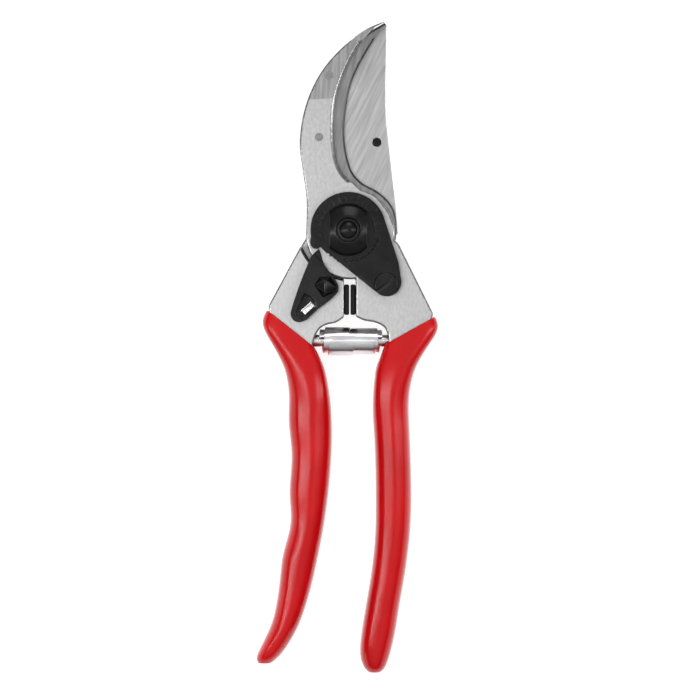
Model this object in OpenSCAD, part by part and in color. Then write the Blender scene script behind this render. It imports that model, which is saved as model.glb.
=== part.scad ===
// Bypass pruning shears: two forged handles on one pivot bolt, a cutting blade
// behind, a hooked counter-blade in front, a thumb catch and a volute spring.
// The tool lies on its back: +Y runs to the blade tip, +Z out of the front face,
// and the origin is on the pivot axis at the plane that the tool rests on.

/* [Blades] */
// Thickness of the cutting blade
blade_t = 3; // [2.5:0.1:3.2]
// Thickness of the hardened counter-blade
anvil_t = 2.5; // [2:0.1:3]
// Thickness of the hook in front of the counter-blade
hook_t = 2.9; // [2.5:0.1:3.5]
// How far the tip of the hook is ground below its face
tip_grind = 0.4; // [0.2:0.1:0.8]
// Radius of the rivets in the blades
rivet_r = 1.4; // [1:0.1:1.6]

/* [Pivot] */
// Radius of the pivot bolt's shank
bolt_r = 4; // [3.5:0.1:4.5]
// Radius of the pivot bolt's head
bolt_head_r = 8; // [7:0.5:9]
// Thickness of the pivot bolt's head
bolt_head_t = 2.5; // [2:0.1:3]
// Radius of the hook's round head
head_r = 14.6; // [14:0.1:14.8]
// Number of teeth on the adjusting nut
nut_teeth = 40; // [30:1:48]
// Width across the two flats of the adjusting nut
nut_flats = 12.1; // [11:0.1:13]
// Thickness of the locking segment
segment_t = 3; // [2.8:0.1:3.4]

/* [Handles] */
// Thickness of the handle head behind the cutting blade
back_head_t = 4; // [3.5:0.1:4.5]
// Depth of a grip from its back to its front
grip_depth = 18.5; // [17:0.5:20]
// How square the grip's cross-section is, where 2 is an ellipse
grip_squareness = 2.5; // [2:0.1:3]
// Depth of the flat tang inside a grip
tang_t = 8; // [6:0.5:10]

/* [Catch and spring] */
// Thickness of the thumb catch under its knob
catch_t = 3; // [2.6:0.1:3.2]
// Height of the knob on the thumb catch
knob_h = 3.2; // [2:0.1:4]
// Outer radius of the volute spring at its middle
spring_r = 4.9; // [4.5:0.1:5]

/* [Hidden] */
past = 1;             // how far a cutting shape runs past a face
$fn = 64;

running = 0.1;       // gap between two faces that slide past each other
shaft_gap = 0.05;    // radial clearance of a turning hole on its shaft
washer_t = 0.4;

// Levels of the stack through the pivot, from the rest plane upwards
back_z = bolt_head_t + washer_t + running;
blade_z = back_z + back_head_t;
anvil_z = blade_z + blade_t + running;
hook_z = anvil_z + anvil_t;
face_z = hook_z + hook_t;
segment_z = face_z + running;
catch_z = face_z + 0.3;
grip_mid_z = grip_depth / 2;

// The hook's round head sits slightly off the pivot, towards the right arm
head_at = [0.7, -1.5];
back_head_r = 13.5;
heel_r = 12.5;         // round heel of the cutting blade
anvil_heel_r = 12.8;   // round heel of the counter-blade
front_sweep_r = 16.5;  // clears the hook's head as the left arm swings
back_sweep_r = 17.6;   // clears the heel of the cutting blade

nut_r = 10.2;
nut_tooth_h = 0.7;
mark_r = 9.4;
mark_w = 0.45;
long_mark = 2.2;
short_mark = 1.4;
long_mark_every = 36;
mark_depth = 0.35;
nut_flange_t = 1.6;
nut_head_r = 8.5;
nut_head_h = 3.4;
nut_top = segment_z + nut_flange_t + nut_head_h;
bolt_dome_r = 5;
bolt_dome_rim = 3;
bolt_dome_h = 1.6;
tail_at = [12.6, -17];
tail_r = 4.8;
screw_at = [12.4, -18];
screw_r = 3.8;
screw_shank_r = 2;
screw_shank_z = 9;

anvil_rivet_at = [[-6.2, 50.7], [-9.6, 30.5]];
blade_rivet_circle = 10.6;
badge_at = [15.3, -25.6];
badge_r = 3;
badge_depth = 0.25;
leaf_shift = 1.8;
plug_at = [9.4, 29];
plug_recess = 0.5;
grind_y = 43;          // the hook is ground lower above this height
grind_w = 40;

catch_pin_at = [-12.6, -24];
catch_pin_r = 1.5;
catch_pin_z = 8;
catch_clear_r = 13.8;  // the catch is at its full thickness outside this radius
nose_inner_r = 11;
pocket_floor = 1.2;
nose_t = 0.9;

spring_y = -36.3;
stud_r = 2;
stud_root_right = 18;
stud_root_left = -16;
bumper_y = -22.8;
bumper_t = 1.7;
bumper_stem_r = 1.8;
bumper_stem = 4;
left_face_x = -1.4;    // inner faces of the two arms beside the bumpers
right_face_x = 2.4;

// Outer and inner edges of the hook, from the tip down and back up again
hook_outer = [
  [12.4, 68.6], [5, 65.4], [-3.5, 58.5], [-10, 50.2], [-14.3, 40],
  [-16, 29], [-15, 20], [-13.7, 10], [-13.9, -1.5]
];
hook_inner = [
  [3.9, 12.8], [1.5, 15.1], [-2.2, 19], [-4.2, 24.5], [-4.9, 33],
  [-4.3, 42], [-2, 49.7], [1.2, 56.8], [4.8, 62.4], [8.8, 66.8]
];

// The counter-blade lies behind the hook, stands proud along its hollow, and
// widens into a shoulder and a round heel behind the hook's head
anvil_back = [
  [11.9, 68.2], [5, 64], [-2.8, 57], [-8.9, 49], [-12.9, 39.4],
  [-14.5, 29], [-13.7, 20], [-12.7, 10], [-12.9, 1]
];
anvil_shoulder = [[15.6, -3.5], [15.9, 3], [14.1, 8.3], [9.7, 12.6], [4.8, 15.3], [2, 18]];
anvil_edge = [
  [0.8, 20], [-0.6, 25], [-1.3, 31], [-1.1, 37],
  [0.2, 45.5], [2.2, 51.5], [5.2, 57.3], [9.2, 63.7], [12.5, 67.4]
];

// Cutting edge and spine of the cutting blade
cutting_edge = [
  [-12.4, 1], [-9.7, 9], [-6.2, 17], [-5, 26], [-4.6, 35], [-2.6, 45],
  [1.6, 54], [7, 62], [12.2, 68]
];
blade_spine = [
  [12.6, 67.6], [12.4, 58], [12.2, 47], [12.4, 37], [13.3, 28],
  [14.5, 17], [15.7, 7], [16.4, -1]
];

// Edges of the grips in pairs, left point then right point, from the top down
left_grip = [
  [[-26.8, -26], [-11, -38.5]], [[-28.7, -31], [-9.4, -41.5]],
  [[-25, -37.5], [-7.6, -46]], [[-21, -45.5], [-6.2, -53]],
  [[-19.5, -54], [-5.5, -60]], [[-19.8, -63], [-5.3, -68]],
  [[-18.6, -74], [-5.7, -77]], [[-19.5, -86], [-6.6, -87]],
  [[-18.9, -96.5], [-8, -97]], [[-21.7, -107], [-10, -107.5]],
  [[-22.9, -118], [-12.5, -118.5]], [[-24.8, -128], [-15.7, -128.5]],
  [[-27.8, -135], [-19.3, -135.5]], [[-30.2, -140.2], [-22.8, -140.2]],
  [[-29.6, -142.6], [-25.9, -142.8]]
];
right_grip = [
  [[11.8, -37.6], [28.6, -28.2]], [[10.5, -41.5], [29.9, -32.5]],
  [[9, -45.5], [26, -38.5]], [[8.2, -52.5], [21.8, -46]],
  [[8, -60], [19.9, -55]], [[8.6, -69], [20.2, -66]],
  [[8.9, -78], [20.6, -76]], [[9, -88], [20.8, -88]],
  [[8.9, -99], [20.4, -99]], [[7.8, -111], [19, -111]],
  [[5.9, -122.5], [17, -122.5]], [[4.3, -132.5], [15.4, -132.5]],
  [[3.8, -139.2], [13.6, -140]], [[5, -143.6], [11.9, -144.2]],
  [[7, -145.6], [9.8, -145.8]]
];
// Half depth of a grip at each pair, as a share of its full half depth
grip_swell = [
  0.83, 0.88, 0.95, 1, 1, 1, 1, 1, 1, 1, 1, 1, 0.97, 0.8, 0.45
];
// How much squarer the grip is at each of the first pairs, over the flat arm
mouth_squareness = [6, 5, 2.5, 1, 0.3];

// Point at fraction t of the span b to c of a smooth curve
function spline_point(a, b, c, d, t) =
  (2 * b + (c - a) * t + (2 * a - 5 * b + 4 * c - d) * t * t
  + (3 * b - 3 * c + d - a) * t * t * t) / 2;

// Smooth curve through the points p, with steps points to each span
function smooth(p, steps = 6) = [
  for (i = [0 : len(p) - 2], k = [0 : steps - 1])
    spline_point(p[max(i - 1, 0)], p[i], p[i + 1], p[min(i + 2, len(p) - 1)], k / steps),
  p[len(p) - 1]
];

function mix(a, b, t) = a + (b - a) * t;
function on_circle(r, a) = [r * cos(a), r * sin(a)];
function arc(c, r, from, to, steps = 16) =
  [for (k = [0 : steps]) c + on_circle(r, mix(from, to, k / steps))];

blade_rivet_at = [for (a = [60, 180, 300]) on_circle(blade_rivet_circle, a)];

// One ring of a grip: a rounded box between its two edge points
function grip_ring(a, b, half, squareness, sides = 16) = [
  for (k = [0 : sides - 1])
    let (
      turn = 360 * k / sides,
      side = sign(cos(turn)) * pow(abs(cos(turn)), 2 / squareness),
      rise = sign(sin(turn)) * pow(abs(sin(turn)), 2 / squareness),
      flat = mix(a, b, (1 + side) / 2)
    )
    [flat[0], flat[1], grip_mid_z + half * rise]
];

function grip_rings(pairs) =
  let (
    a = smooth([for (p = pairs) p[0]], 3),
    b = smooth([for (p = pairs) p[1]], 3),
    s = smooth(grip_swell, 3),
    m = smooth(mouth_squareness, 3)
  )
  [for (i = [0 : len(a) - 1])
    grip_ring(a[i], b[i], s[i] * grip_depth / 2, grip_squareness + (i < len(m) ? m[i] : 0))];

// Closed skin over a list of rings
module skin(rings) {
  n = len(rings[0]);
  last = len(rings) - 1;
  polyhedron(
    points = [for (ring = rings, p = ring) p],
    faces = concat(
      [[for (k = [0 : n - 1]) k]],
      [[for (k = [n - 1 : -1 : 0]) last * n + k]],
      [for (i = [0 : last - 1], k = [0 : n - 1]) [i * n + k, (i + 1) * n + k, i * n + (k + 1) % n]],
      [for (i = [0 : last - 1], k = [0 : n - 1])
        [i * n + (k + 1) % n, (i + 1) * n + k, (i + 1) * n + (k + 1) % n]]
    )
  );
}

module slab(z0, z1) {
  translate([0, 0, z0]) linear_extrude(z1 - z0) children();
}

module post(at, r, z0, z1) {
  translate([at[0], at[1], z0]) cylinder(h = z1 - z0, r = r);
}

// Cylinder along X, from x0 to x1, at the middle depth of the arms
module cross_post(y, r, x0, x1) {
  translate([x0, y, grip_mid_z]) rotate([0, 90, 0]) cylinder(h = x1 - x0, r = r);
}

// Flat tang inside a grip, a fixed share of the grip's width
module tang_outline(pairs) {
  inside = [for (i = [1 : len(pairs) - 4]) pairs[i]];
  polygon(concat(
    smooth([for (p = inside) mix(p[0], p[1], 0.25)], 3),
    smooth([for (i = [len(inside) - 1 : -1 : 0]) mix(inside[i][0], inside[i][1], 0.75)], 3)
  ));
}

module hook_outline() {
  polygon(concat(smooth(hook_outer), [[0, -1.5]], smooth(hook_inner)));
}

module anvil_outline() {
  polygon(concat(
    smooth(anvil_back),
    arc([0, 0], anvil_heel_r, 190, 330, 24),
    smooth(anvil_shoulder),
    smooth(anvil_edge)
  ));
}

module head_outline() {
  translate(head_at) circle(r = head_r);
}

module right_arm_outline() {
  polygon(concat(
    [[12, 0], [16.6, -4.6], [27.9, -27.4], [27.2, -30.5], [24, -34.5], [15.5, -39.5]],
    smooth([[13.3, -39.3], [13.1, -35], [11.9, -32], [9, -30.4], [5.3, -29.7], [right_face_x, -28.4]], 4),
    [[right_face_x, -12]]
  ));
}

module left_arm_outline() {
  polygon(concat(
    [[-8, 0], [-13.4, -1.5], [-15.3, -4.6], [-26.1, -24.6], [-26, -27.5], [-23.5, -32.5], [-15, -39.6]],
    smooth([[-12.2, -39.6], [-10.9, -35], [-9.4, -32.4], [-7, -31], [-4, -30.3], [left_face_x, -28.6]], 4),
    [[left_face_x, -12]]
  ));
}

module cutting_outline() {
  polygon(concat(smooth(cutting_edge), smooth(blade_spine), arc([0, 0], heel_r, -22, -178, 24)));
}

// Plain stamped badge: a ring round a leaf with a midrib
module badge() {
  difference() {
    cylinder(h = 1, r = badge_r);
    cylinder(h = 3, r = badge_r - 0.45, center = true);
  }
  difference() {
    intersection() {
      translate([-leaf_shift, 0, 0]) cylinder(h = 1, r = badge_r);
      translate([leaf_shift, 0, 0]) cylinder(h = 1, r = badge_r);
    }
    translate([-0.15, -badge_r, -1]) cube([0.3, 2 * badge_r, 3]);
  }
}

// Right handle: arm, tang, round head over the pivot and the hook above it
module hook_handle() {
  color([0.8, 0.8, 0.8]) difference() {
    union() {
      slab(anvil_z, face_z) {
        head_outline();
        right_arm_outline();
      }
      slab(hook_z, face_z) hook_outline();
      slab(back_z, anvil_z) difference() {
        right_arm_outline();
        circle(r = back_sweep_r, $fn = 128);
      }
      slab(grip_mid_z - tang_t / 2, grip_mid_z + tang_t / 2) tang_outline(right_grip);
    }
    slab(anvil_z, hook_z) anvil_outline();
    post([0, 0], bolt_r, 0, face_z + past);
    for (at = anvil_rivet_at) post(at, rivet_r, 0, face_z + past);
    post(screw_at, screw_shank_r, screw_shank_z, face_z + past);
    translate([badge_at[0], badge_at[1], face_z - badge_depth]) badge();
    translate([-grind_w / 2, grind_y, face_z - tip_grind]) cube([grind_w, grind_w, tip_grind + past]);
    cross_post(spring_y, stud_r, right_face_x, stud_root_right);
    cross_post(bumper_y, bumper_stem_r, 0, right_face_x + bumper_stem);
  }
}

// Hardened counter-blade behind the hook
module anvil_blade() {
  color([0.55, 0.55, 0.55]) difference() {
    slab(anvil_z, hook_z) anvil_outline();
    post([0, 0], bolt_r, 0, face_z);
    for (at = anvil_rivet_at) post(at, rivet_r, 0, face_z + past);
  }
}

// Two rivets through the hook and the counter-blade, ground flush
module anvil_rivets() {
  color([0.45, 0.45, 0.45]) {
    post(anvil_rivet_at[0], rivet_r, anvil_z, face_z - tip_grind);
    post(anvil_rivet_at[1], rivet_r, anvil_z, face_z);
  }
}

// Left handle: arm and tang, with a thin head behind the cutting blade
module blade_handle() {
  color([0.78, 0.78, 0.78]) difference() {
    union() {
      slab(back_z, blade_z) {
        circle(r = back_head_r);
        left_arm_outline();
      }
      slab(blade_z, face_z) difference() {
        left_arm_outline();
        circle(r = front_sweep_r, $fn = 128);
      }
      slab(grip_mid_z - tang_t / 2, grip_mid_z + tang_t / 2) tang_outline(left_grip);
    }
    post([0, 0], bolt_r + shaft_gap, 0, face_z);
    for (at = blade_rivet_at) post(at, rivet_r, 0, blade_z + past);
    post(catch_pin_at, catch_pin_r, catch_pin_z, face_z + past);
    cross_post(spring_y, stud_r, stud_root_left, left_face_x);
    cross_post(bumper_y, bumper_stem_r, left_face_x - bumper_stem, 0);
  }
}

// Cutting blade, straight along its spine and convex along its edge
module cutting_blade() {
  color([0.66, 0.66, 0.66]) difference() {
    slab(blade_z, blade_z + blade_t) cutting_outline();
    post([0, 0], bolt_r + shaft_gap, 0, face_z);
    for (at = blade_rivet_at) post(at, rivet_r, 0, face_z);
    post(plug_at, rivet_r, 0, face_z);
  }
}

// Rivets that hold the cutting blade to the left handle's head
module blade_rivets() {
  color([0.5, 0.5, 0.5])
    for (at = blade_rivet_at) post(at, rivet_r, back_z, blade_z + blade_t);
}

// Black plug in the cutting blade
module blade_plug() {
  color([0.1, 0.1, 0.1]) difference() {
    post(plug_at, rivet_r, blade_z, blade_z + blade_t);
    post(plug_at, rivet_r / 2, blade_z + blade_t - plug_recess, face_z);
  }
}

// Grips, pulled over the handles and closed at the bottom
module hook_grip() {
  color([0.78, 0.07, 0.09]) difference() {
    skin(grip_rings(right_grip));
    hook_handle();
    cross_post(spring_y, stud_r, right_face_x, stud_root_right);
  }
}

module blade_grip() {
  color([0.78, 0.07, 0.09]) difference() {
    skin(grip_rings(left_grip));
    blade_handle();
    cross_post(spring_y, stud_r, stud_root_left, left_face_x);
  }
}

// Pivot bolt: flat head at the back, domed end inside the nut
module pivot_bolt() {
  color([0.15, 0.15, 0.16]) {
    difference() {
      cylinder(h = bolt_head_t, r = bolt_head_r);
      translate([0, 0, -1]) cylinder(h = 2.6, r = 3.2, $fn = 6);
    }
    post([0, 0], bolt_r, bolt_head_t, nut_top - bolt_dome_h);
    translate([0, 0, nut_top - bolt_dome_h]) intersection() {
      translate([0, 0, -sqrt(pow(bolt_dome_r, 2) - pow(bolt_dome_rim, 2))]) sphere(r = bolt_dome_r);
      cylinder(h = bolt_dome_h, r = bolt_r);
    }
  }
}

// Thin washer under the bolt's head
module pivot_washer() {
  color([0.7, 0.7, 0.7]) difference() {
    post([0, 0], 7.6, bolt_head_t, bolt_head_t + washer_t);
    post([0, 0], bolt_r, 0, face_z);
  }
}

module toothed_outline(grow = 0) {
  polygon([
    for (i = [0 : 4 * nut_teeth - 1])
      on_circle(nut_r + grow + (i % 4 < 2 ? nut_tooth_h / 2 : -nut_tooth_h / 2),
        360 * i / (4 * nut_teeth))
  ]);
}

// Adjusting nut: toothed flange, dished head with two flats
module adjusting_nut() {
  color([0.13, 0.13, 0.13]) difference() {
    union() {
      slab(segment_z, segment_z + nut_flange_t) toothed_outline();
      intersection() {
        translate([0, 0, segment_z + nut_flange_t]) rotate_extrude()
          polygon([[0, 0], [nut_head_r, 0], [nut_head_r, 1.2], [nut_head_r - 1, 2],
            [4.4, nut_head_h], [0, nut_head_h]]);
        translate([-nut_flats / 2, -20, 0]) cube([nut_flats, 40, 40]);
      }
    }
    post([0, 0], bolt_r, 0, 40);
  }
}

// Outline of the locking segment: round over the nut, with a tail at the right
module segment_outline() {
  polygon(concat(
    arc([0, 0], 12.4, 21, 190, 40),
    [[-12.6, -4], [-12.3, -5.2], [-11.4, -6.1], [-10.2, -6.3], [-9.2, -5.6], [-7.8, -7]],
    [for (k = [0 : 3], s = [0, 1]) [-7 + k * 1.2 + s * 0.5, -7.6 - k * 1 + (s == 0 ? 0 : -0.1)]],
    arc(tail_at, tail_r, 231, 362, 14),
    [[16.5, -10.8]]
  ));
}

// Locking segment: keeps the nut from turning, held by the slotted screw
module locking_segment() {
  top = segment_z + segment_t;
  color([0.12, 0.12, 0.12]) difference() {
    slab(segment_z, top) segment_outline();
    slab(segment_z - 1, segment_z + nut_flange_t + running) toothed_outline(0.1);
    post([0, 0], nut_head_r + 0.3, 0, top + 1);
    // window over the nut's teeth, beside the tail
    translate([0, 0, segment_z + 1]) rotate([0, 0, -100]) rotate_extrude(angle = 85)
      square([nut_r + 0.4, segment_t]);
    // relief under the rim, which the catch's thin nose passes through
    translate([0, 0, segment_z - 1]) rotate([0, 0, 130]) rotate_extrude(angle = 110)
      translate([nose_inner_r, 0]) square([5, 1 + nose_t + 0.5]);
    // graduation marks around the upper rim
    for (a = [0 : 12 : 192])
      rotate([0, 0, a]) translate([mark_r, -mark_w / 2, top - mark_depth])
        cube([a % long_mark_every == 0 ? long_mark : short_mark, mark_w, past]);
    post(screw_at, screw_r + 0.1, top - 1, top + 1);
    post(screw_at, screw_shank_r, 0, top);
  }
}

// Slotted screw through the segment's tail into the right arm
module segment_screw() {
  top = segment_z + segment_t;
  color([0.16, 0.16, 0.16]) difference() {
    union() {
      post(screw_at, screw_r, top - 1, top + 0.8);
      post(screw_at, screw_shank_r, screw_shank_z, top - 1);
    }
    translate([screw_at[0], screw_at[1], top - 0.2]) rotate([0, 0, 35])
      translate([-5, -0.5, 0]) cube([10, 1, 3]);
  }
}

// A rubber buffer on the inner face of an arm, with its stem in the arm
module bumper(face_x, side) {
  color([0.08, 0.08, 0.08]) {
    translate([face_x + (side < 0 ? -bumper_t : 0), bumper_y - 5, grip_mid_z - 4.5])
      cube([bumper_t, 10, 9]);
    cross_post(bumper_y, bumper_stem_r, side < 0 ? face_x : face_x - bumper_stem,
      side < 0 ? face_x + bumper_stem : face_x);
  }
}

// Studs that the spring's ends sit on
module hook_stud() {
  color([0.6, 0.6, 0.6]) cross_post(spring_y, stud_r, 8.5, stud_root_right);
}

module blade_stud() {
  color([0.6, 0.6, 0.6]) cross_post(spring_y, stud_r, stud_root_left, -6.5);
}

// Pin in the left arm that the catch turns on
module catch_pin() {
  color([0.6, 0.6, 0.6]) post(catch_pin_at, catch_pin_r, catch_pin_z, catch_z + 0.9);
}

catch_left = [
  [-9.6, -6.2], [-12.2, -8.8], [-14.6, -14.4], [-16.6, -19.7], [-18.5, -25.5],
  [-18.9, -28], [-17.6, -29.9], [-15.6, -30.2], [-13.5, -29.3]
];
catch_right = [
  [-10, -26], [-6, -23], [-3.6, -20.6], [-3.2, -18.6], [-4.3, -16.2],
  [-6.3, -13.6], [-8.1, -10.8], [-8.9, -8]
];
pocket = [
  [-14.4, -21], [-12.6, -21.8], [-10.9, -23.6], [-10.7, -25.6], [-13.4, -28],
  [-16.4, -28.6], [-17.2, -27.2]
];

// Thumb catch: thin nose over the hook's head, raised knob, pocket at its foot
module thumb_catch() {
  color([0.12, 0.12, 0.12]) difference() {
    union() {
      slab(catch_z, catch_z + nose_t - 0.2) polygon(concat(smooth(catch_left, 4), smooth(catch_right, 4)));
      slab(catch_z, catch_z + catch_t) difference() {
        polygon(concat(smooth(catch_left, 4), smooth(catch_right, 4)));
        circle(r = catch_clear_r, $fn = 128);
      }
      hull() {
        slab(catch_z + catch_t - 0.1, catch_z + catch_t)
          polygon([[-11.3, -18], [-9.3, -15.2], [-5.8, -15.2], [-3.5, -19], [-4, -20.2], [-8.4, -22.3]]);
        slab(catch_z + catch_t, catch_z + catch_t + knob_h)
          polygon([[-7.9, -16.6], [-7.3, -16.6], [-7.2, -20.4], [-7.7, -20.4]]);
      }
    }
    slab(catch_z + pocket_floor, catch_z + catch_t + 1) polygon(pocket);
    post(catch_pin_at, catch_pin_r + shaft_gap, 0, catch_z + past);
  }
}

// Bent steel leaf in the pocket of the catch
module catch_spring() {
  color([0.75, 0.75, 0.75]) translate([-13.3, -24.6, catch_z + pocket_floor]) rotate([0, 0, 43]) {
    translate([-2.9, -1.8, 0]) cube([4.4, 2, 0.5]);
    translate([-2.9, -0.3, 0.5]) cube([4.4, 0.5, 1]);
  }
}

// Volute spring: its turns slide into each other from the middle to both ends
module volute_spring() {
  color([0.8, 0.8, 0.8]) translate([0, spring_y, grip_mid_z]) rotate([0, 90, 0]) rotate_extrude()
    polygon([
      [2.2, -9.6], [2.9, -9.6], [2.9, -8], [4.2, -8], [4.2, -5.2], [spring_r, -5.2],
      [spring_r, 3], [4.4, 3], [4.4, 7.8], [3.7, 7.8], [3.7, 9.3], [2.9, 9.3], [2.9, 10.9], [2.2, 10.9]
    ]);
}

module hook_bumper() {
  bumper(right_face_x, -1);
}

module blade_bumper() {
  bumper(left_face_x, 1);
}

hook_handle();
hook_grip();
anvil_blade();
anvil_rivets();
pivot_bolt();
pivot_washer();
adjusting_nut();
locking_segment();
segment_screw();
hook_bumper();
hook_stud();
blade_handle();
blade_grip();
cutting_blade();
blade_rivets();
blade_plug();
blade_bumper();
blade_stud();
catch_pin();
thumb_catch();
catch_spring();
volute_spring();
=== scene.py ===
import math

import bmesh
import bpy
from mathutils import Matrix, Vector
from mathutils.bvhtree import BVHTree


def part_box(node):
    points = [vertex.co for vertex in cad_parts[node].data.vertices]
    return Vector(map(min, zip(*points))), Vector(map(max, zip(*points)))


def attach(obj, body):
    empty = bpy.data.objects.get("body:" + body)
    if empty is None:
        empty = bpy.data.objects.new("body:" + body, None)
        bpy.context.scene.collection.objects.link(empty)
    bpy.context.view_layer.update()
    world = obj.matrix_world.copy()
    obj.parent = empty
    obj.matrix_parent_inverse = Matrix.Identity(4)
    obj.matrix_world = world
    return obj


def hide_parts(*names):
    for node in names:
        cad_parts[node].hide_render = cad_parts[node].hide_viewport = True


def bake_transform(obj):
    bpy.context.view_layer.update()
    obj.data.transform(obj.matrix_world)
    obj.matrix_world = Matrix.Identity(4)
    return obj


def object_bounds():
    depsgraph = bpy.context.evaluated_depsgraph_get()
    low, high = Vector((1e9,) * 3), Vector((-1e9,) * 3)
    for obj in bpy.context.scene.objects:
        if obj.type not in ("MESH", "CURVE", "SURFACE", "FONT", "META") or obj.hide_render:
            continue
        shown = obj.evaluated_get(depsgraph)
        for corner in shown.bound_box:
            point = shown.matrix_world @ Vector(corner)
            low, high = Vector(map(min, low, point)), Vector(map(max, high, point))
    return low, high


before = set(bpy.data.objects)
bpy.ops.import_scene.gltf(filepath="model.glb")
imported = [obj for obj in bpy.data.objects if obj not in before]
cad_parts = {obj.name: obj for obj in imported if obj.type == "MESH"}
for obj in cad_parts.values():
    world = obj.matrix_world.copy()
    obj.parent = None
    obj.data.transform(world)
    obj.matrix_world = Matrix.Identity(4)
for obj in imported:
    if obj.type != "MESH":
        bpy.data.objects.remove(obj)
cad_low, cad_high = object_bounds()
MM = 0.001

# ---------------------------------------------------------------- table and light
# The shears lie on their back on a plain pale table, under a broad soft light
# from straight above that falls off to a darker room at the sides. Two long
# narrow lights run beside the grips and give them their thin highlights.

scene = bpy.context.scene
scene.view_settings.view_transform = "Standard"

table_size = 4.0
table_mesh = bpy.data.meshes.new("table")
table_build = bmesh.new()
bmesh.ops.create_grid(table_build, x_segments=8, y_segments=8, size=table_size / 2)
table_build.to_mesh(table_mesh)
table_build.free()
table = bpy.data.objects.new("table", table_mesh)
table.location.z = cad_low.z - 0.02 * MM
scene.collection.objects.link(table)

table_finish = bpy.data.materials.new("table_paper")
table_finish.use_nodes = True
table_shader = table_finish.node_tree.nodes["Principled BSDF"]
table_shader.inputs["Base Color"].default_value = (0.5, 0.5, 0.5, 1)
table_shader.inputs["Roughness"].default_value = 0.9
table_shader.inputs["Emission Color"].default_value = (1, 1, 1, 1)
table_shader.inputs["Emission Strength"].default_value = 0.8
table_mesh.materials.append(table_finish)

room = bpy.data.worlds.new("room")
room.use_nodes = True
scene.world = room
room_tree = room.node_tree
room_place = room_tree.nodes.new("ShaderNodeTexCoord")
room_axes = room_tree.nodes.new("ShaderNodeSeparateXYZ")
room_fall = room_tree.nodes.new("ShaderNodeValToRGB")
room_fall.color_ramp.elements[0].position = 0.2
room_fall.color_ramp.elements[0].color = (0.06, 0.06, 0.065, 1)
room_fall.color_ramp.elements[1].position = 0.92
room_fall.color_ramp.elements[1].color = (0.85, 0.85, 0.85, 1)
room_tree.links.new(room_place.outputs["Generated"], room_axes.inputs["Vector"])
room_tree.links.new(room_axes.outputs["Z"], room_fall.inputs["Fac"])
room_tree.links.new(room_fall.outputs["Color"], room_tree.nodes["Background"].inputs["Color"])
room_tree.nodes["Background"].inputs["Strength"].default_value = 0.85


def soft_light(name, place, aim, width, length, power):
    """A rectangular studio light at place, turned to face aim."""
    lamp = bpy.data.lights.new(name, "AREA")
    lamp.shape = "RECTANGLE"
    lamp.size = width
    lamp.size_y = length
    lamp.energy = power
    holder = bpy.data.objects.new(name, lamp)
    holder.location = place
    holder.rotation_mode = "QUATERNION"
    holder.rotation_quaternion = (Vector(aim) - Vector(place)).to_track_quat("-Z", "Y")
    scene.collection.objects.link(holder)


middle = (cad_low + cad_high) / 2
soft_light("top_light", (0.1, 1.0, 0.9), middle, width=0.6, length=0.6, power=3.0)
soft_light("left_strip", (-0.34, -0.06, 0.5), middle, width=0.05, length=0.7, power=1.3)
soft_light("right_strip", (0.5, 0.0, 0.42), middle, width=0.08, length=0.7, power=1.2)

# The camera hangs straight above the tool on a long lens, square to its face.
view_width = 228.3 * MM
view_level = 0.0155
camera_height = 1.6
camera_data = bpy.data.cameras.new("camera")
camera_data.sensor_width = 36
camera_data.lens = camera_data.sensor_width * camera_height / view_width
camera = bpy.data.objects.new("camera", camera_data)
camera.location = (middle.x + 0.05 * MM, middle.y - 0.1 * MM, camera_height + view_level)
scene.collection.objects.link(camera)
scene.camera = camera

# ---------------------------------------------------------------- forged handles
# Two drop forgings in light alloy. Each is an arm with a flat tang inside the
# grip and a head over the pivot; the right one carries the hook. The flash is
# trimmed, the edges are rounded by tumbling, and the faces are left satin.

# Angles and distances that count as flat, sharp, level or on a cut.
flat_within = math.radians(0.5)
sharp_beyond = math.radians(30)
same_level = 0.05 * MM
cut_within = 0.002 * MM
on_cut_within = 0.003 * MM

# Shares of a face and of an edge that a rounding may take, and the least that a corner takes.
share_across = 0.48
share_along = 0.9
least_taken = 0.02


def cut_room(outline, level):
    """Shortest piece of edge that a cut at one height would leave."""
    shortest = 1.0
    for edge in outline:
        low, high = sorted(v.co.y for v in edge.verts)
        if low < level < high:
            shares = ((level - low) / (high - low), (high - level) / (high - low))
            shortest = min(shortest, min(shares) * edge.calc_length())
    return shortest


def sharp_groups(build, limit):
    """Heights across the middle of every connected run of sharp edges."""
    outline = [e for e in build.edges if e.is_manifold and e.calc_face_angle(0) > limit]
    left = set(outline)
    levels = []
    for start in outline:
        if start not in left:
            continue
        left.discard(start)
        queue = [start]
        reach = []
        while queue:
            edge = queue.pop()
            reach.append(edge)
            for vert in edge.verts:
                for other in vert.link_edges:
                    if other in left:
                        left.discard(other)
                        queue.append(other)
        heights = [v.co.y for edge in reach for v in edge.verts]
        centre, half = (min(heights) + max(heights)) / 2, (max(heights) - min(heights)) / 2
        spread = min(0.6 * half, 1.2 * MM)
        tries = 12
        choices = [centre + spread * (k / tries - 1) for k in range(2 * tries + 1)]
        if not any(choices[0] < known < choices[-1] for known in levels):
            levels.append(max(choices, key=lambda level: cut_room(outline, level)))
    return levels


def close_holes(build, places, reach):
    """Takes out the walls of round holes and closes the flat faces over them."""
    walls = [
        face
        for face in build.faces
        if abs(face.normal.z) < 0.5
        and any((face.calc_center_median().xy - spot).length < reach for spot in places)
    ]
    if walls:
        bmesh.ops.delete(build, geom=walls, context="FACES")
        rims = [edge for edge in build.edges if edge.is_boundary]
        bmesh.ops.holes_fill(build, edges=rims, sides=0)


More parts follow.
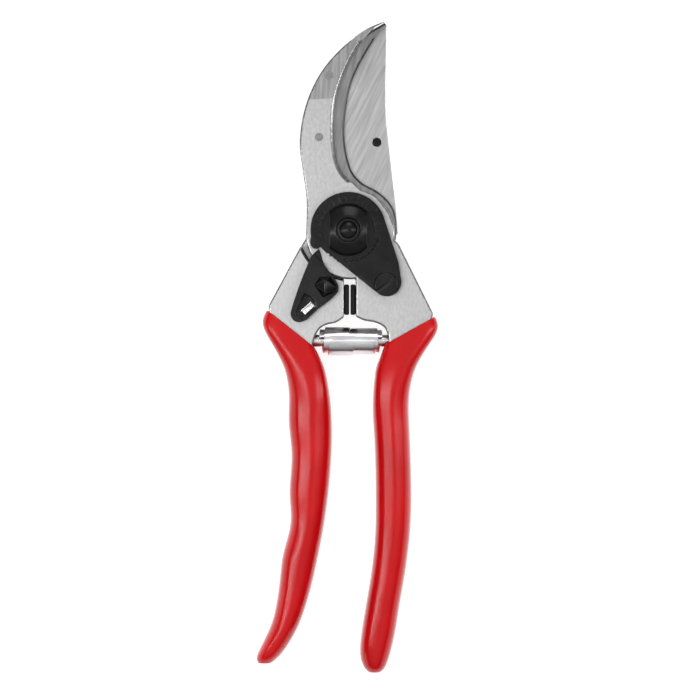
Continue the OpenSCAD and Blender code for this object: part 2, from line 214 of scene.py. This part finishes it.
def take_shape(node, name, closed=(), reach=0.0, flush=None, merge=0.02 * MM):
    """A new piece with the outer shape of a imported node, its flat faces whole again."""
    mesh = bpy.data.meshes.new(name)
    build = bmesh.new()
    build.from_mesh(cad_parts[node].data)
    levels = []
    if flush is not None:
        lower, upper, line = flush
        for vert in build.verts:
            if vert.co.y > line - 1 * MM and abs(vert.co.z - lower) < same_level:
                vert.co.z = upper
        levels.append(line)
    bmesh.ops.remove_doubles(build, verts=build.verts, dist=merge)
    close_holes(build, closed, reach)
    levels += sharp_groups(build, sharp_beyond)
    for level in levels:
        bmesh.ops.bisect_plane(
            build,
            geom=[*build.verts, *build.edges, *build.faces],
            dist=cut_within,
            plane_co=(0, level, 0),
            plane_no=(0, 1, 0),
        )
        for edge in build.edges:
            on_cut = all(abs(v.co.y - level) < on_cut_within for v in edge.verts)
            if on_cut and edge.is_manifold and edge.calc_face_angle(0) < flat_within:
                edge.seam = True
    bmesh.ops.dissolve_limit(
        build, angle_limit=flat_within, verts=build.verts, edges=build.edges, delimit={"SEAM"}
    )
    for face in build.faces:
        face.smooth = True
    build.to_mesh(mesh)
    build.free()
    piece = bpy.data.objects.new(name, mesh)
    scene.collection.objects.link(piece)
    return piece


def room_across(edge, face, sharp):
    """Largest radius that a flat face leaves beside one of its edges."""
    loop = [lo for lo in face.loops if lo.edge == edge][0]
    direction = (loop.link_loop_next.vert.co - loop.vert.co).normalized()
    inward = face.normal.cross(direction)
    centre = (loop.vert.co + loop.link_loop_next.vert.co) / 2
    nearest = 1.0
    for other in face.edges:
        near, far = (v.co - centre for v in other.verts)
        near_side, far_side = near.dot(direction), far.dot(direction)
        if other not in sharp or near_side * far_side > 0 or near_side == far_side:
            continue
        if set(other.verts) & set(edge.verts):
            continue
        depth = near.lerp(far, near_side / (near_side - far_side)).dot(inward)
        if depth > 0.001 * MM:
            nearest = min(nearest, depth * share_across)
    return nearest


def room_along(edge, face, sharp):
    """Largest radius for which the ends of an edge do not run past each other."""
    loop = [lo for lo in face.loops if lo.edge == edge][0]
    taken = 0.0
    following = loop.link_loop_next
    for here, neighbour in ((loop, loop.link_loop_prev.edge), (following, following.edge)):
        corner = here.calc_angle() if here.is_convex else 2 * math.pi - here.calc_angle()
        if neighbour in sharp:
            taken += max(0.0, 1 / math.tan(max(corner / 2, least_taken)))
        else:
            taken += least_taken
    return edge.calc_length() / max(taken, least_taken)


def rounding_room(build, sharp, radius):
    """Largest radius up to the one asked for that each sharp edge has room for."""
    room = {}
    for edge in sharp:
        widths = [room_across(edge, face, sharp) for face in edge.link_faces]
        lengths = [room_along(edge, face, sharp) * share_along for face in edge.link_faces]
        room[edge] = min(radius, *widths, *lengths)
    for edge in build.edges:
        if edge in sharp:
            continue
        ends = sum(any(e in sharp for e in v.link_edges) for v in edge.verts)
        for vert in edge.verts:
            run = (edge.other_vert(vert).co - vert.co).normalized()
            for other in vert.link_edges:
                if other in sharp:
                    beside = (other.other_vert(vert).co - vert.co).normalized()
                    fits = edge.calc_length() * run.cross(beside).length * share_along / ends
                    room[other] = min(room[other], fits)
    return room


def round_edges(piece, radius, steps=3, sharper_than=32, least=0.0, rim=None):
    """Rounds the sharp edges of a piece, leaving out those with less room than the least."""
    if rim is not None:
        piece.data.materials.append(rim)
    build = bmesh.new()
    build.from_mesh(piece.data)
    weight = build.edges.layers.float.new("bevel_weight_edge")
    limit = math.radians(sharper_than)
    sharp = {e for e in build.edges if e.is_manifold and e.calc_face_angle(0) > limit}
    for edge in sharp:
        edge.smooth = False
    passes = 6
    for _ in range(passes):
        room = rounding_room(build, sharp, radius)
        tight = {edge for edge in sharp if room[edge] < least}
        if not tight:
            break
        sharp -= tight
    least_width = 0.03 * MM
    left = set(sharp)
    while left:
        queue = [left.pop()]
        chain = []
        while queue:
            edge = queue.pop()
            chain.append(edge)
            for other in {e for v in edge.verts for e in v.link_edges} & left:
                left.discard(other)
                queue.append(other)
        width = min(room[edge] for edge in chain)
        if width > least_width:
            for edge in chain:
                edge[weight] = width / radius
                edge.smooth = True
    build.to_mesh(piece.data)
    build.free()
    bevel = piece.modifiers.new("rounding", "BEVEL")
    bevel.width = radius
    bevel.segments = steps
    bevel.limit_method = "WEIGHT"
    bevel.use_clamp_overlap = False
    bevel.loop_slide = False
    if rim is not None:
        bevel.material = len(piece.data.materials) - 1
    even = piece.modifiers.new("flat_faces", "WEIGHTED_NORMAL")
    even.mode = "FACE_AREA"
    even.weight = 100
    even.keep_sharp = True


def fit_piece(piece, node, body):
    """Rides the piece on its body, in place of its node."""
    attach(piece, body)
    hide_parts(node)


def new_group(name, sockets_in, sockets_out):
    """An empty shader node group with the sockets asked for."""
    group = bpy.data.node_groups.new(name, "ShaderNodeTree")
    for label, kind, value in sockets_in:
        socket = group.interface.new_socket(label, in_out="INPUT", socket_type=kind)
        if value is not None:
            socket.default_value = value
    for label, kind in sockets_out:
        group.interface.new_socket(label, in_out="OUTPUT", socket_type=kind)
    start = group.nodes.new("NodeGroupInput")
    end = group.nodes.new("NodeGroupOutput")
    return group, start, end


def make_grain_group():
    """Grain of a worked surface: a noise drawn out along one direction, as a mask."""
    group, start, end = new_group(
        "grain",
        [
            ("Stretch", "NodeSocketVector", (1, 1, 1)),
            ("Turn", "NodeSocketVector", (0, 0, 0)),
            ("Scale", "NodeSocketFloat", 400.0),
            ("Detail", "NodeSocketFloat", 4.0),
            ("Low", "NodeSocketFloat", 0.35),
            ("High", "NodeSocketFloat", 0.65),
        ],
        [("Mask", "NodeSocketFloat"), ("Raw", "NodeSocketFloat")],
    )
    place = group.nodes.new("ShaderNodeTexCoord")
    turn = group.nodes.new("ShaderNodeVectorRotate")
    turn.rotation_type = "EULER_XYZ"
    stretch = group.nodes.new("ShaderNodeVectorMath")
    stretch.operation = "MULTIPLY"
    noise = group.nodes.new("ShaderNodeTexNoise")
    spread = group.nodes.new("ShaderNodeMapRange")
    link = group.links.new
    link(place.outputs["Object"], turn.inputs["Vector"])
    link(start.outputs["Turn"], turn.inputs["Rotation"])
    link(turn.outputs["Vector"], stretch.inputs[0])
    link(start.outputs["Stretch"], stretch.inputs[1])
    link(stretch.outputs["Vector"], noise.inputs["Vector"])
    link(start.outputs["Scale"], noise.inputs["Scale"])
    link(start.outputs["Detail"], noise.inputs["Detail"])
    link(noise.outputs["Fac"], spread.inputs["Value"])
    link(start.outputs["Low"], spread.inputs["From Min"])
    link(start.outputs["High"], spread.inputs["From Max"])
    link(spread.outputs["Result"], end.inputs["Mask"])
    link(noise.outputs["Fac"], end.inputs["Raw"])
    return group


def make_wear_group():
    """Edge wear: a mask that is 1 on outer edges, broken up by a coarse noise."""
    group, start, end = new_group(
        "edge_wear",
        [
            ("Radius", "NodeSocketFloat", 0.0004),
            ("Strength", "NodeSocketFloat", 1.0),
            ("Breakup", "NodeSocketFloat", 300.0),
        ],
        [("Mask", "NodeSocketFloat")],
    )
    bevel = group.nodes.new("ShaderNodeBevel")
    bevel.samples = 4
    surface = group.nodes.new("ShaderNodeNewGeometry")
    dot = group.nodes.new("ShaderNodeVectorMath")
    dot.operation = "DOT_PRODUCT"
    bend = group.nodes.new("ShaderNodeMapRange")
    bend.inputs["From Min"].default_value = 0.995
    bend.inputs["From Max"].default_value = 0.9
    place = group.nodes.new("ShaderNodeTexCoord")
    noise = group.nodes.new("ShaderNodeTexNoise")
    broken = group.nodes.new("ShaderNodeMapRange")
    broken.inputs["From Min"].default_value = 0.35
    broken.inputs["From Max"].default_value = 0.6
    both = group.nodes.new("ShaderNodeMath")
    both.operation = "MULTIPLY"
    amount = group.nodes.new("ShaderNodeMath")
    amount.operation = "MULTIPLY"
    link = group.links.new
    link(start.outputs["Radius"], bevel.inputs["Radius"])
    link(bevel.outputs["Normal"], dot.inputs[0])
    link(surface.outputs["Normal"], dot.inputs[1])
    link(dot.outputs["Value"], bend.inputs["Value"])
    link(place.outputs["Object"], noise.inputs["Vector"])
    link(start.outputs["Breakup"], noise.inputs["Scale"])
    link(noise.outputs["Fac"], broken.inputs["Value"])
    link(bend.outputs["Result"], both.inputs[0])
    link(broken.outputs["Result"], both.inputs[1])
    link(both.outputs["Value"], amount.inputs[0])
    link(start.outputs["Strength"], amount.inputs[1])
    link(amount.outputs["Value"], end.inputs["Mask"])
    return group


def make_stretch_group():
    """A mask that runs from 0 to 1 between two heights along the tool."""
    group, start, end = new_group(
        "along_tool",
        [("Start", "NodeSocketFloat", 0.0), ("Stop", "NodeSocketFloat", 0.001)],
        [("Mask", "NodeSocketFloat")],
    )
    place = group.nodes.new("ShaderNodeTexCoord")
    spot = group.nodes.new("ShaderNodeSeparateXYZ")
    spread = group.nodes.new("ShaderNodeMapRange")
    link = group.links.new
    link(place.outputs["Object"], spot.inputs["Vector"])
    link(spot.outputs["Y"], spread.inputs["Value"])
    link(start.outputs["Start"], spread.inputs["From Min"])
    link(start.outputs["Stop"], spread.inputs["From Max"])
    link(spread.outputs["Result"], end.inputs["Mask"])
    return group


GRAIN = make_grain_group()
ALONG_TOOL = make_stretch_group()
EDGE_WEAR = make_wear_group()


def place_group(tree, group, **values):
    """Places a node group in a material, with its own values."""
    node = tree.nodes.new("ShaderNodeGroup")
    node.node_tree = group
    for label, value in values.items():
        node.inputs[label].default_value = value
    return node


def blend_colour(tree, mask, dark, light):
    """Colour that runs from dark to light with a mask."""
    mixer = tree.nodes.new("ShaderNodeMix")
    mixer.data_type = "RGBA"
    for socket, colour in (("A", dark), ("B", light)):
        target = [s for s in mixer.inputs if s.name == socket and s.type == "RGBA"][0]
        if isinstance(colour, tuple):
            target.default_value = (*colour, 1)
        else:
            tree.links.new(colour, target)
    tree.links.new(mask, mixer.inputs["Factor"])
    return [s for s in mixer.outputs if s.type == "RGBA"][0]


def blend_value(tree, mask, low, high):
    """Value that runs from low to high with a mask."""
    spread = tree.nodes.new("ShaderNodeMapRange")
    spread.inputs["To Min"].default_value = low
    spread.inputs["To Max"].default_value = high
    tree.links.new(mask, spread.inputs["Value"])
    return spread.outputs["Result"]


def raise_surface(tree, height, depth):
    """Small relief from a height mask, depth in metres."""
    bump = tree.nodes.new("ShaderNodeBump")
    bump.inputs["Distance"].default_value = depth
    tree.links.new(height, bump.inputs["Height"])
    return bump.outputs["Normal"]


def metal_finish(name, dark, light, worn, rough, stretch, turn, scale, relief, wear, tip_shade=None):
    """Worked metal: directional grain, patchy tone, edges rubbed brighter, and painted shade
    darkening the tip end when one is asked for.
    """
    finish = bpy.data.materials.new(name)
    finish.use_nodes = True
    tree = finish.node_tree
    shader = tree.nodes["Principled BSDF"]
    shader.inputs["Metallic"].default_value = 1.0
    lines = place_group(tree, GRAIN, Stretch=stretch, Turn=turn, Scale=scale, Detail=5.0)
    patches = place_group(tree, GRAIN, Scale=90.0, Detail=3.0, Low=0.3, High=0.7)
    edges = place_group(tree, EDGE_WEAR, Radius=0.0005, Strength=wear)
    tone = blend_colour(tree, lines.outputs["Mask"], dark, light)
    patchy = blend_value(tree, patches.outputs["Mask"], 0.0, 0.35)
    tone = blend_colour(tree, patchy, tone, dark)
    tone = blend_colour(tree, edges.outputs["Mask"], tone, worn)
    # Painted shade: past a height along the tool the colour runs into a dark tip colour,
    # standing in for the shade on the tip's end.
    if tip_shade is not None:
        tip_start, tip_stop, tip_shade_colour = tip_shade
        reach = place_group(tree, ALONG_TOOL, Start=tip_start, Stop=tip_stop)
        tone = blend_colour(tree, reach.outputs["Mask"], tone, tip_shade_colour)
    tree.links.new(tone, shader.inputs["Base Color"])
    roughness = blend_value(tree, lines.outputs["Raw"], *rough)
    tree.links.new(roughness, shader.inputs["Roughness"])
    normal = raise_surface(tree, lines.outputs["Raw"], relief)
    tree.links.new(normal, shader.inputs["Normal"])
    return finish


forged_alloy = metal_finish(
    "forged_alloy",
    dark=(0.43, 0.43, 0.43),
    light=(0.53, 0.53, 0.53),
    worn=(0.7, 0.7, 0.7),
    rough=(0.32, 0.5),
    stretch=(1, 0.5, 1),
    turn=(0, 0, 0.1),
    scale=1300.0,
    relief=0.00002,
    wear=0.5,
)
ground_alloy = metal_finish(
    "ground_alloy",
    dark=(0.25, 0.25, 0.25),
    light=(0.42, 0.42, 0.42),
    worn=(0.7, 0.7, 0.7),
    rough=(0.3, 0.45),
    stretch=(1, 0.04, 1),
    turn=(0, 0, 0.05),
    scale=1100.0,
    relief=0.00002,
    wear=0.5,
    # Painted shade on the hook's tip end, dark grey.
    tip_shade=(0.0655, 0.0675, (0.06, 0.06, 0.06)),
)
# Painted shade: the rounded edges of the forgings take this darker alloy, standing in for the
# shade along them.
shaded_alloy_edge = metal_finish(
    "shaded_alloy_edge",
    dark=(0.24, 0.24, 0.24),
    light=(0.4, 0.4, 0.4),
    worn=(0.7, 0.7, 0.7),
    rough=(0.18, 0.32),
    stretch=(1, 1, 1),
    turn=(0, 0, 0),
    scale=900.0,
    relief=0.00002,
    wear=0.3,
)

handle_radius = 1.1 * MM
hole_reach = 1.9 * MM
merge_within = 0.06 * MM
ground_level = 15.1 * MM
hook_face = 15.5 * MM
grind_line = 43 * MM
catch_pin_at = Vector((-12.6, -24)) * MM
hook_rivets = [Vector((-6.2, 50.7)) * MM, Vector((-9.6, 30.5)) * MM]
for node, body in (("hook_handle", "hook_side"), ("blade_handle", "blade_side")):
    on_hook = node == "hook_handle"
    closed = hook_rivets if on_hook else [catch_pin_at]
    step = (ground_level, hook_face, grind_line) if on_hook else None
    handle = take_shape(node, node + "_forging", closed, hole_reach, step, merge_within)
    handle.data.materials.append(forged_alloy)
    handle.data.materials.append(ground_alloy)
    for face in handle.data.polygons:
        if face.normal.z > 0.9 and face.center.y > grind_line and on_hook:
            face.material_index = 1
    # The rounded edges get the darker alloy as painted shade.
    round_edges(handle, handle_radius, steps=4, least=0.5 * MM, rim=shaded_alloy_edge)
    fit_piece(handle, node, body)

# ---------------------------------------------------------------- grips
# Red plastic sleeves, moulded with a rounded section and a soft mouth, warmed
# and pushed over the tangs. The left one has shallow waves for the fingers.

grip_sides = 32
outside = 0.01
skin_reach = 0.04
mouth_depth = 0.15 * MM


def grip_stations(tree, low, high, corner_a, corner_b):
    """Places along a grip: a centre and the direction across it, from mouth to end."""
    across_mouth = (corner_b - corner_a).normalized()
    if across_mouth.x < 0:
        across_mouth = -across_mouth
    tilted_length = 9 * MM
    level = min(corner_a.y, corner_b.y) - tilted_length
    mid_z = (low.z + high.z) / 2

    def centre_at(y):
        left = tree.ray_cast(Vector((low.x - outside, y, mid_z)), Vector((1, 0, 0)))[0]
        right = tree.ray_cast(Vector((high.x + outside, y, mid_z)), Vector((-1, 0, 0)))[0]
        return Vector(((left.x + right.x) / 2, y, mid_z))

    mouth = (corner_a + corner_b) / 2
    mouth.z = mid_z
    first_level = centre_at(level)
    places = []
    tilted = 9
    for i in range(tilted):
        share = i / tilted
        across = across_mouth.lerp(Vector((1, 0, 0)), share).normalized()
        places.append((mouth.lerp(first_level, share), across))
    straight = 44
    end = low.y + 0.5 * MM
    for i in range(straight + 1):
        share = math.sin(math.pi / 2 * i / straight)
        places.append((centre_at(level + (end - level) * share), Vector((1, 0, 0))))
    return places


def grip_ring(tree, centre, across):
    """Points where a section of the grip meets its outer skin."""
    points = []
    for k in range(grip_sides):
        turn = 2 * math.pi * k / grip_sides
        outward = across * math.cos(turn) + Vector((0, 0, math.sin(turn)))
        hit = tree.ray_cast(centre + outward * skin_reach, -outward)[0]
        points.append(hit if hit is not None else centre)
    return points


def mould_grip(node, name):
    """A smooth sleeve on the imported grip's outline, with a rolled mouth."""
    source = bmesh.new()
    source.from_mesh(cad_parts[node].data)
    tree = BVHTree.FromBMesh(source)
    low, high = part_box(node)
    low, high = Vector(low), Vector(high)
    half_way = (low.y + high.y) / 2
    mouth_points = [
        v.co.copy()
        for f in source.faces
        if f.normal.y > 0.5 and abs(f.normal.z) < 0.01 and f.calc_center_median().y > half_way
        for v in f.verts
    ]
    source.free()
    corner_a = min(mouth_points, key=lambda p: p.x)
    corner_b = max(mouth_points, key=lambda p: p.x)
    places = grip_stations(tree, low, high, corner_a, corner_b)
    build = bmesh.new()
    rings = []
    mouth, across = places[0]
    inward = Vector((across.y, -across.x, 0))
    places[0] = (mouth + inward * mouth_depth, across)
    for centre, across in places:
        rings.append([build.verts.new(p) for p in grip_ring(tree, centre, across)])
    lip = []
    for shrink, sink in ((0.965, -0.25), (0.93, 0.0), (0.9, 0.8), (0.6, 1.2)):
        ring = [
            build.verts.new(mouth + (v.co - mouth) * shrink + inward * sink * MM)
            for v in rings[0]
        ]
        lip.insert(0, ring)
    rings = lip + rings
    last, _ = places[-1]
    for shrink, sink in ((0.88, 0.08), (0.7, 0.1), (0.5, 0.1)):
        down = Vector((0, -sink, 0)) * MM
        rings.append([build.verts.new(last + (v.co - last) * shrink + down) for v in rings[-1]])
    for upper, lower in zip(rings, rings[1:]):
        for k in range(grip_sides):
            n = (k + 1) % grip_sides
            build.faces.new((upper[k], lower[k], lower[n], upper[n]))
    build.faces.new(rings[0])
    build.faces.new(list(reversed(rings[-1])))
    bmesh.ops.recalc_face_normals(build, faces=build.faces)
    for face in build.faces:
        face.smooth = True
    mesh = bpy.data.meshes.new(name)
    build.to_mesh(mesh)
    build.free()
    piece = bpy.data.objects.new(name, mesh)
    scene.collection.objects.link(piece)
    smooth = piece.modifiers.new("evenness", "SMOOTH")
    smooth.factor = 0.4
    smooth.iterations = 2
    finer = piece.modifiers.new("finer", "SUBSURF")
    finer.levels = 1
    finer.render_levels = 1
    return piece


red_plastic = bpy.data.materials.new("red_plastic")
red_plastic.use_nodes = True
red_tree = red_plastic.node_tree
red_shader = red_tree.nodes["Principled BSDF"]
red_cloud = place_group(red_tree, GRAIN, Scale=60.0, Detail=3.0)
red_skin = place_group(red_tree, GRAIN, Scale=1500.0, Detail=2.0)
red_rub = place_group(red_tree, EDGE_WEAR, Radius=0.0012, Strength=0.5)
deep_red, clear_red, rubbed_red = (0.56, 0.003, 0.005), (0.64, 0.004, 0.007), (0.64, 0.02, 0.025)
red_tone = blend_colour(red_tree, red_cloud.outputs["Mask"], deep_red, clear_red)
red_tone = blend_colour(red_tree, red_rub.outputs["Mask"], red_tone, rubbed_red)
red_tree.links.new(red_tone, red_shader.inputs["Base Color"])
red_roughness = blend_value(red_tree, red_cloud.outputs["Raw"], 0.16, 0.26)
red_tree.links.new(red_roughness, red_shader.inputs["Roughness"])
red_relief = raise_surface(red_tree, red_skin.outputs["Raw"], 0.00001)
red_tree.links.new(red_relief, red_shader.inputs["Normal"])
red_shader.inputs["Specular IOR Level"].default_value = 0.28

for node, body in (("hook_grip", "hook_side"), ("blade_grip", "blade_side")):
    grip = mould_grip(node, node + "_sleeve")
    grip.data.materials.append(red_plastic)
    fit_piece(grip, node, body)

# ---------------------------------------------------------------- blades
# The cutting blade is stamped from hardened strip, ground across its face and
# bevelled along its convex edge. The counter-blade behind the hook is a darker
# hard steel with a ground flank along its hollow, where it meets the blade.

blade_steel = metal_finish(
    "blade_steel",
    dark=(0.36, 0.36, 0.36),
    light=(0.52, 0.52, 0.52),
    worn=(0.75, 0.75, 0.75),
    rough=(0.24, 0.44),
    stretch=(1, 0.06, 1),
    turn=(0, 0, 0.45),
    scale=1100.0,
    relief=0.00002,
    wear=0.6,
    # Painted shade on the blade's tip end, near black.
    tip_shade=(0.0668, 0.0674, (0.01, 0.01, 0.01)),
)
hard_steel = metal_finish(
    "hard_steel",
    dark=(0.2, 0.2, 0.2),
    light=(0.3, 0.3, 0.3),
    worn=(0.55, 0.55, 0.55),
    rough=(0.3, 0.45),
    stretch=(1, 0.1, 1),
    turn=(0, 0, 0.2),
    scale=1000.0,
    relief=0.00002,
    wear=0.2,
)

# Painted shade: the counter-blade's rounded flank and edges take this near-black steel, standing
# in for the shade on the bevel that faces sideways.
shaded_flank = metal_finish(
    "shaded_flank",
    dark=(0.06, 0.06, 0.06),
    light=(0.12, 0.12, 0.12),
    worn=(0.3, 0.3, 0.3),
    rough=(0.3, 0.45),
    stretch=(1, 0.1, 1),
    turn=(0, 0, 0.2),
    scale=1000.0,
    relief=0.00002,
    wear=0.2,
)

cutting = take_shape("cutting_blade", "cutting_blade_ground")
cutting.data.materials.append(blade_steel)
round_edges(cutting, 0.25 * MM, steps=2)
fit_piece(cutting, "cutting_blade", "blade_side")

counter = take_shape("anvil_blade", "counter_blade_ground")
counter.data.materials.append(hard_steel)
# The rounded flank and edges get the near-black painted shade.
round_edges(counter, 0.8 * MM, steps=2, least=0.5 * MM, rim=shaded_flank)
fit_piece(counter, "anvil_blade", "hook_side")

# ---------------------------------------------------------------- rivets and plug
# Soft steel rivets through the blades, set and then ground flush with the
# faces, and a black plug in the cutting blade.

rivet_steel = metal_finish(
    "rivet_steel",
    dark=(0.2, 0.2, 0.2),
    light=(0.3, 0.3, 0.3),
    worn=(0.4, 0.4, 0.4),
    rough=(0.35, 0.5),
    stretch=(1, 1, 1),
    turn=(0, 0, 0),
    scale=1500.0,
    relief=0.00001,
    wear=0.3,
)


def black_finish(name, dark, light, rough, relief, metallic=0.0):
    """Blackened surface: fine tooth, faint grey rub along the edges."""
    finish = bpy.data.materials.new(name)
    finish.use_nodes = True
    tree = finish.node_tree
    shader = tree.nodes["Principled BSDF"]
    shader.inputs["Metallic"].default_value = metallic
    shader.inputs["Specular IOR Level"].default_value = 0.22
    tooth = place_group(tree, GRAIN, Scale=1600.0, Detail=3.0)
    cloud = place_group(tree, GRAIN, Scale=120.0, Detail=4.0)
    edges = place_group(tree, EDGE_WEAR, Radius=0.0003, Strength=0.35)
    rubbed = (0.09, 0.09, 0.09)
    tone = blend_colour(tree, cloud.outputs["Mask"], dark, light)
    tone = blend_colour(tree, edges.outputs["Mask"], tone, rubbed)
    tree.links.new(tone, shader.inputs["Base Color"])
    roughness = blend_value(tree, cloud.outputs["Raw"], *rough)
    tree.links.new(roughness, shader.inputs["Roughness"])
    normal = raise_surface(tree, tooth.outputs["Raw"], relief)
    tree.links.new(normal, shader.inputs["Normal"])
    return finish


# Painted highlight: the rounded edges of the black parts take this lighter, partly metallic
# black, standing in for the grey highlights along them.
black_edge_highlight = black_finish(
    "black_edge_highlight", (0.02, 0.02, 0.02), (0.05, 0.05, 0.05), (0.15, 0.3), 0.00001, metallic=0.6
)
black_oxide = black_finish(
    "black_oxide", (0.003, 0.003, 0.003), (0.008, 0.008, 0.008), (0.16, 0.3), 0.00001
)

proud = 0.03 * MM
blade_front = 9.9 * MM
for node, body, finish, slot in (
    ("anvil_rivets", "hook_side", rivet_steel, "hardened_steel"),
    ("blade_rivets", "blade_side", rivet_steel, "hardened_steel"),
    ("blade_plug", "blade_side", black_oxide, "black_steel"),
):
    rivet = take_shape(node, node + "_set")
    rivet.data.materials.append(finish)
    for vert in rivet.data.vertices:
        if vert.co.z > hook_face - 0.5 * MM:
            vert.co.z = hook_face + proud
        elif vert.co.z > blade_front:
            vert.co.z += proud
    round_edges(rivet, 0.05 * MM, steps=2)
    fit_piece(rivet, node, body)

# ---------------------------------------------------------------- pivot
# A steel bolt with a broad flat head at the back and a thin washer under it. In
# front, a turned and blackened nut with two flats, held from turning by a toothed
# segment that a slotted screw fastens to the arm.

bright_steel = metal_finish(
    "bright_steel",
    dark=(0.68, 0.68, 0.69),
    light=(0.84, 0.84, 0.85),
    worn=(0.95, 0.95, 0.95),
    rough=(0.16, 0.3),
    stretch=(0.2, 1, 1),
    turn=(0, 0, 0),
    scale=800.0,
    relief=0.000008,
    wear=0.5,
)

for node, radius, finish, slot in (
    ("pivot_bolt", 0.4, black_oxide, "black_steel"),
    ("pivot_washer", 0.08, bright_steel, "bright_steel"),
    ("adjusting_nut", 0.25, black_oxide, "black_steel"),
    ("locking_segment", 0.2, black_oxide, "black_steel"),
    ("segment_screw", 0.3, black_oxide, "black_steel"),
):
    part = take_shape(node, node + "_turned")
    part.data.materials.append(finish)
    # Their rounded edges get the lighter black as a painted highlight.
    rim = black_edge_highlight if finish is black_oxide else None
    round_edges(part, radius * MM, steps=2, least=0.07 * MM, rim=rim)
    fit_piece(part, node, "hook_side")

# ---------------------------------------------------------------- thumb catch
# A black pressed catch on a pin in the left arm, with a raised knob for the
# thumb and a pocket at its foot that holds a bent bright leaf.

catch = take_shape("thumb_catch", "thumb_catch_pressed")
catch.data.materials.append(black_oxide)
# The catch's rounded edges get the painted highlight too.
round_edges(catch, 0.35 * MM, steps=2, sharper_than=25, least=0.1 * MM, rim=black_edge_highlight)
fit_piece(catch, "thumb_catch", "catch")

leaf = take_shape("catch_spring", "catch_spring_leaf")
leaf.data.materials.append(bright_steel)
round_edges(leaf, 0.12 * MM, steps=2)
fit_piece(leaf, "catch_spring", "catch")

# ---------------------------------------------------------------- volute spring
# One polished steel band wound so that its turns slide into each other from
# the middle out to both ends; it sits on a stud in each arm.

spring_y = -36.3 * MM
spring_z = 9.25 * MM
band_start = math.radians(70)
band_turns = 2.0
steps_per_turn = 44


def wind_band(build, wide, outer, inner, first_x, last_x, thick):
    """One half of the spring: a flat band wound in a coil that narrows to one end."""
    steps = round(band_turns * steps_per_turn)
    rings = []
    for i in range(steps + 1):
        share = i / steps
        radius = outer + (inner - outer) * share
        middle_x = first_x + (last_x - first_x) * share
        angle = 2 * math.pi * band_turns * share + band_start
        up = Vector((0, math.cos(angle), math.sin(angle)))
        centre = Vector((middle_x, spring_y, spring_z))
        across = Vector((wide / 2, 0, 0))
        rings.append(
            [
                build.verts.new(centre - across + up * radius),
                build.verts.new(centre + across + up * radius),
                build.verts.new(centre + across + up * (radius - thick)),
                build.verts.new(centre - across + up * (radius - thick)),
            ]
        )
    for here, there in zip(rings, rings[1:]):
        for k in range(4):
            n = (k + 1) % 4
            build.faces.new((here[k], here[n], there[n], there[k]))
    build.faces.new(rings[0])
    build.faces.new(list(reversed(rings[-1])))


spring_build = bmesh.new()
wind_band(
    spring_build,
    wide=8.2 * MM,
    outer=5.2 * MM,
    inner=3.6 * MM,
    first_x=-2.1 * MM,
    last_x=-5.5 * MM,
    thick=0.45 * MM,
)
wind_band(
    spring_build,
    wide=9.4 * MM,
    outer=4.7 * MM,
    inner=3.5 * MM,
    first_x=3.6 * MM,
    last_x=6.5 * MM,
    thick=0.4 * MM,
)
bmesh.ops.recalc_face_normals(spring_build, faces=spring_build.faces)
spring_mesh = bpy.data.meshes.new("volute_spring_band")
for face in spring_build.faces:
    face.smooth = True
spring_build.to_mesh(spring_mesh)
spring_build.free()
spring = bpy.data.objects.new("volute_spring_band", spring_mesh)
scene.collection.objects.link(spring)
spring_mesh.materials.append(bright_steel)
round_edges(spring, 0.12 * MM, steps=2)
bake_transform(spring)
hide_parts("volute_spring")

# ---------------------------------------------------------------- bumpers, studs and pin
# Black rubber buffers pressed into the arms, steel studs that hold the spring's
# ends, and the pin that the catch turns on.

black_rubber = black_finish(
    "black_rubber", (0.008, 0.008, 0.008), (0.016, 0.016, 0.016), (0.6, 0.8), 0.00004
)

for node, body, radius, finish, slot in (
    ("hook_bumper", "hook_side", 0.5, black_rubber, "black_rubber"),
    ("blade_bumper", "blade_side", 0.5, black_rubber, "black_rubber"),
    ("hook_stud", "hook_side", 0.3, bright_steel, "bright_steel"),
    ("blade_stud", "blade_side", 0.3, bright_steel, "bright_steel"),
    ("catch_pin", "blade_side", 0.2, bright_steel, "bright_steel"),
):
    small = take_shape(node, node + "_made")
    small.data.materials.append(finish)
    round_edges(small, radius * MM, steps=2)
    fit_piece(small, node, body)
